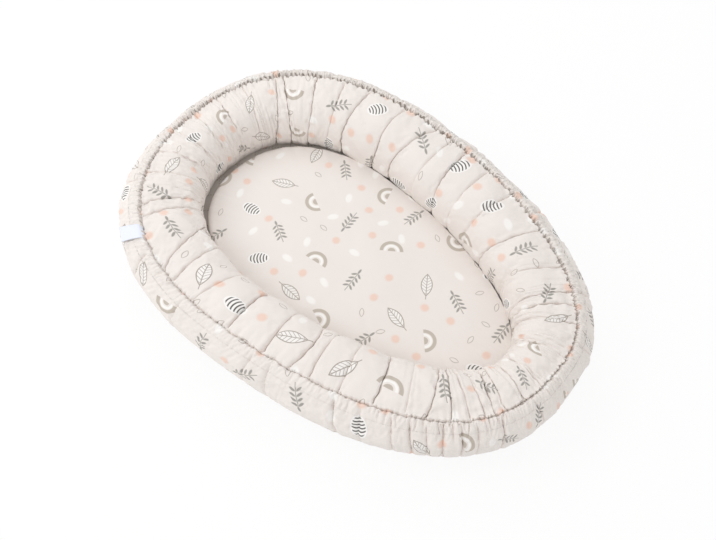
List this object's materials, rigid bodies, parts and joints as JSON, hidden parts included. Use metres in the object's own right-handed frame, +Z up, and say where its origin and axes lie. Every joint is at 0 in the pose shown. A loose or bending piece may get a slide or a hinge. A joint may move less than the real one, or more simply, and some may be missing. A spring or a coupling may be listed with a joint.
{
  "type": "infant lounger",
  "caption": "Oval padded infant lounger: a crowned lying pad inside a stuffed, gathered bumper ring, with a zip in the underside.",
  "frame": {"origin": "on the floor, under the middle of the lounger's bounding box", "axes": "+X along the length to the narrower foot end, +Y to the left seen from the head, +Z up"},
  "size_m": [0.9054, 0.647, 0.1168],
  "materials": {
    "printed_cotton": "matte",
    "quilted_cotton": "matte",
    "fibre_filling": "matte",
    "woven_elastic": "matte",
    "seam_tape": "matte",
    "label_ribbon": "satin",
    "zip_tape": "matte",
    "zip_nylon": "satin",
    "zip_metal": "satin"
  },
  "bodies": {
    "lounger": {"bumper_top_panel": "printed_cotton", "elastic_casing": "printed_cotton", "bumper_side_band": "printed_cotton", "bumper_roll": "fibre_filling", "casing_elastic": "woven_elastic", "inner_seam_tape": "seam_tape", "side_label": "label_ribbon", "mattress_cover_top": "printed_cotton", "mattress_core": "fibre_filling", "mattress_cover_bottom": "quilted_cotton", "base_panel_left": "quilted_cotton", "base_panel_right": "quilted_cotton", "zip_end_tab_foot": "seam_tape", "zip_end_tab_head": "seam_tape", "zip_tape_left": "zip_tape", "zip_tape_right": "zip_tape", "zip_coil_left": "zip_nylon", "zip_coil_right": "zip_nylon", "zip_top_stop_left": "zip_metal", "zip_top_stop_right": "zip_metal", "zip_bottom_stop": "zip_metal"},
    "slider": {"zip_slider": "zip_metal"},
    "pull": {"zip_pull": "zip_metal"}
  },
  "joints": [
    {"name": "zip_slide", "type": "slide", "parent": "lounger", "child": "slider", "axis": [1, 0, 0], "range_m": [0, 0.4554]},
    {"name": "pull_tilt", "type": "hinge", "parent": "slider", "child": "pull", "pos_m": [-0.2277, 0, 0.00255], "axis": [0, 1, 0], "range_deg": [0, 180]}
  ]
}
